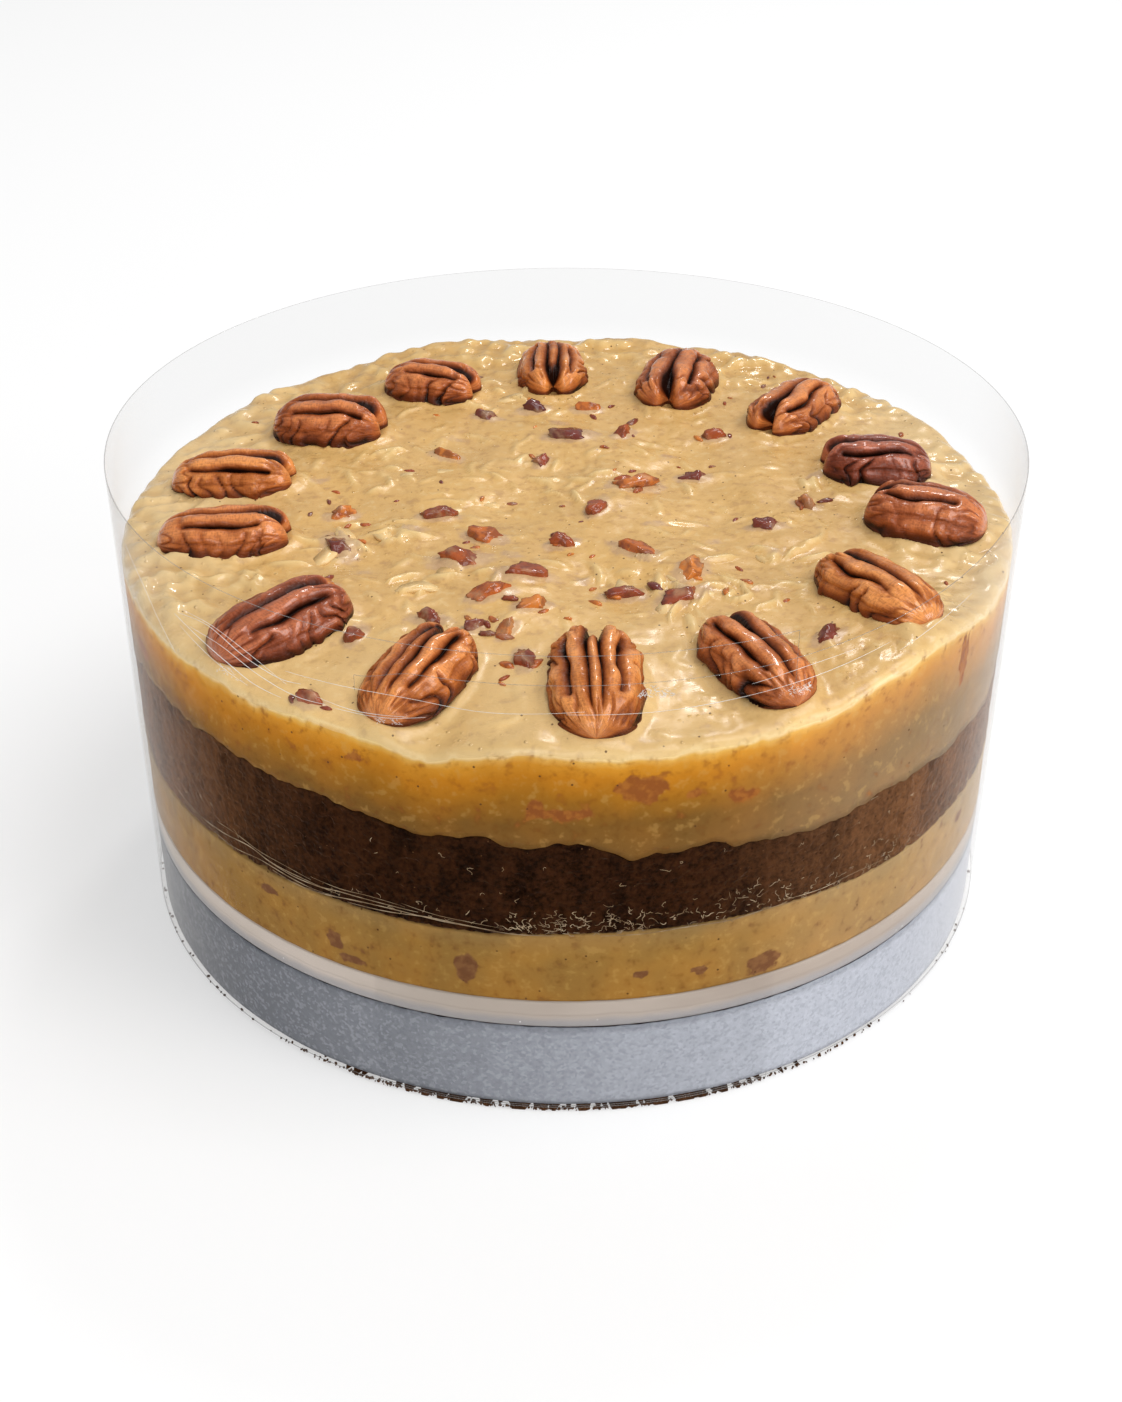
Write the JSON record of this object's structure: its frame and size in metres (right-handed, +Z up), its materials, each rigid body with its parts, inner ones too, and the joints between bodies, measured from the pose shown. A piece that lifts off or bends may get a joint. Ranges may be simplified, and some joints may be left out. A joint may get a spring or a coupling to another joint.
{
  "type": "german chocolate cake",
  "caption": "Round layer cake of chocolate sponge, coconut filling and frosting, ringed with pecan halves, standing in a clear film collar with a paper band at its foot.",
  "frame": {"origin": "on the surface the cake stands on, under its middle", "axes": "+Z up through the layers; -Y towards the front, where the collar's ends lap"},
  "size_m": [0.204, 0.204, 0.112],
  "materials": {
    "sponge": "moist, open chocolate crumb",
    "frosting": "wet, lumpy coconut custard",
    "filling": "smooth coconut custard",
    "cream": "smooth pale cream",
    "paper": "greaseproof, mottled",
    "pecan": "roasted, slightly oily",
    "film": "clear film, lightly creased"
  },
  "bodies": {
    "root": {"bottom_sponge": "sponge", "paper_band": "paper", "cream_layer": "cream", "filling": "filling", "middle_sponge": "sponge", "frosting": "frosting", "pecan_01": "pecan", "pecan_02": "pecan", "pecan_03": "pecan", "pecan_04": "pecan", "pecan_05": "pecan", "pecan_06": "pecan", "pecan_07": "pecan", "pecan_08": "pecan", "pecan_09": "pecan", "pecan_10": "pecan", "pecan_11": "pecan", "pecan_12": "pecan", "pecan_13": "pecan", "pecan_14": "pecan", "collar": "film"}
  },
  "joints": []
}
